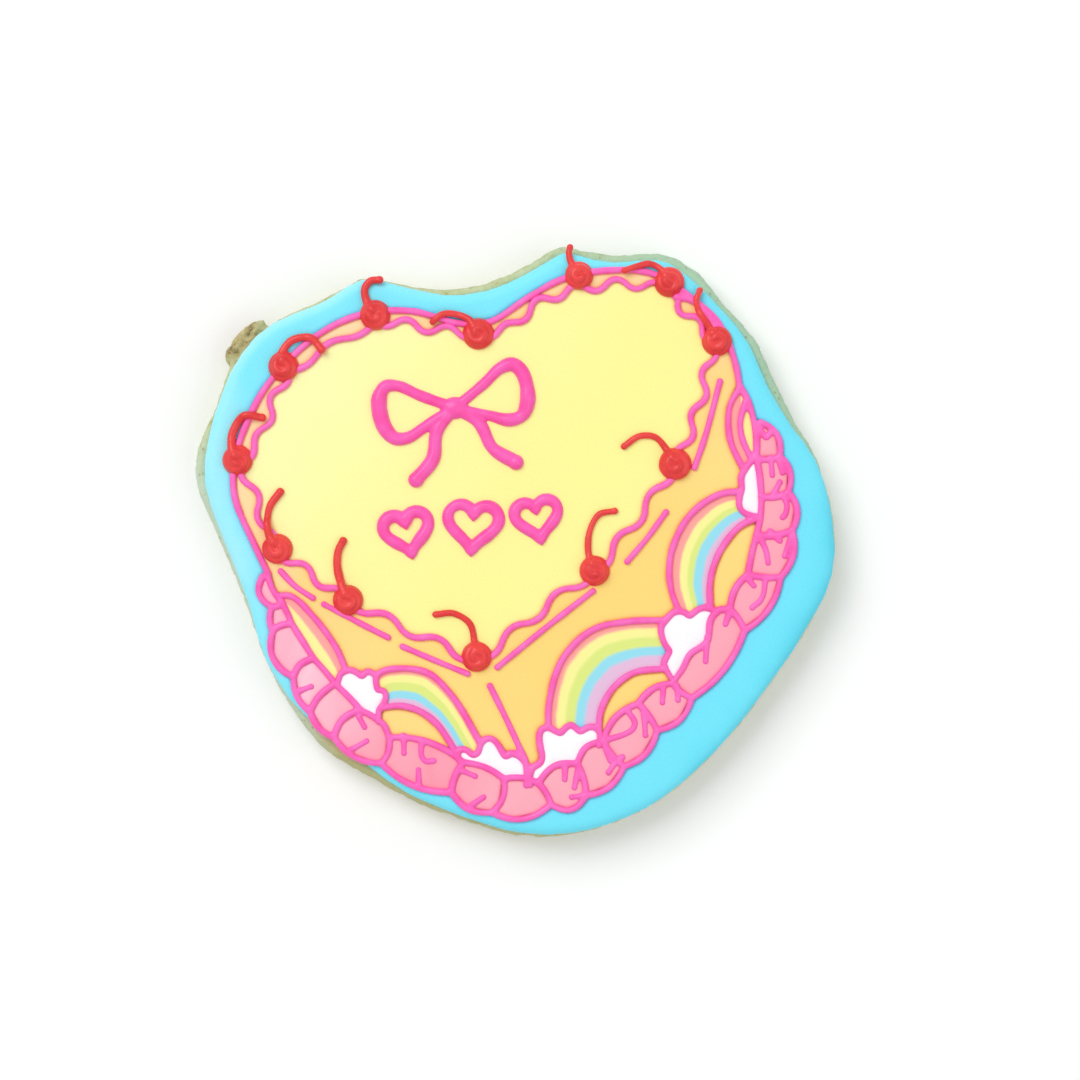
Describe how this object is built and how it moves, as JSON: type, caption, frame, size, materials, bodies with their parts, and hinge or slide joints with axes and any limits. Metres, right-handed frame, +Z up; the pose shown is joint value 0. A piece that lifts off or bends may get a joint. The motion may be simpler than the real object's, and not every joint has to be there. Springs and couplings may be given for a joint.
{
  "type": "decorated sugar cookie",
  "caption": "Flat sugar cookie iced with a drawing of a heart-shaped party cake: piped shells, rainbows, clouds, a bow and small cherries.",
  "frame": {"origin": "centre of the underside's bounding box, on the surface the cookie lies on", "axes": "+Z up out of the iced face, +X to the right and +Y to the top of the drawing"},
  "size_m": [0.121, 0.1118, 0.013],
  "materials": {
    "baked_dough": "baked crumb, dry and slightly rough",
    "blue_icing": "dried royal icing, satin",
    "yellow_icing": "dried royal icing, satin",
    "orange_icing": "dried royal icing, satin",
    "pink_icing": "piped royal icing, satin",
    "salmon_icing": "dried royal icing, satin",
    "white_icing": "dried royal icing, satin",
    "red_icing": "piped royal icing, slightly glossy",
    "rainbow_icing": "wet-on-wet striped royal icing, satin"
  },
  "bodies": {
    "root": {"biscuit": "baked_dough", "blue_icing": "blue_icing", "heart_top": "yellow_icing", "cake_side": "orange_icing", "arch_fill_1": "orange_icing", "arch_fill_2": "orange_icing", "arch_fill_3": "orange_icing", "pink_piping": "pink_icing", "rainbow_1": "rainbow_icing", "cloud_1": "white_icing", "rainbow_2": "rainbow_icing", "cloud_2": "white_icing", "rainbow_3": "rainbow_icing", "cloud_3": "white_icing", "rainbow_4": "rainbow_icing", "cloud_4": "white_icing", "rainbow_5": "rainbow_icing", "cloud_5": "white_icing", "shell_01": "salmon_icing", "shell_02": "salmon_icing", "shell_03": "salmon_icing", "shell_04": "salmon_icing", "shell_05": "salmon_icing", "shell_06": "salmon_icing", "shell_07": "salmon_icing", "shell_08": "salmon_icing", "shell_09": "salmon_icing", "shell_10": "salmon_icing", "shell_11": "salmon_icing", "shell_12": "salmon_icing", "shell_13": "salmon_icing", "shell_14": "salmon_icing", "shell_15": "salmon_icing", "shell_16": "salmon_icing", "shell_17": "salmon_icing", "shell_18": "salmon_icing", "shell_19": "salmon_icing", "cherry_01": "red_icing", "cherry_02": "red_icing", "cherry_03": "red_icing", "cherry_04": "red_icing", "cherry_05": "red_icing", "cherry_06": "red_icing", "cherry_07": "red_icing", "cherry_08": "red_icing", "cherry_09": "red_icing", "cherry_10": "red_icing", "cherry_11": "red_icing", "cherry_12": "red_icing"}
  },
  "joints": []
}
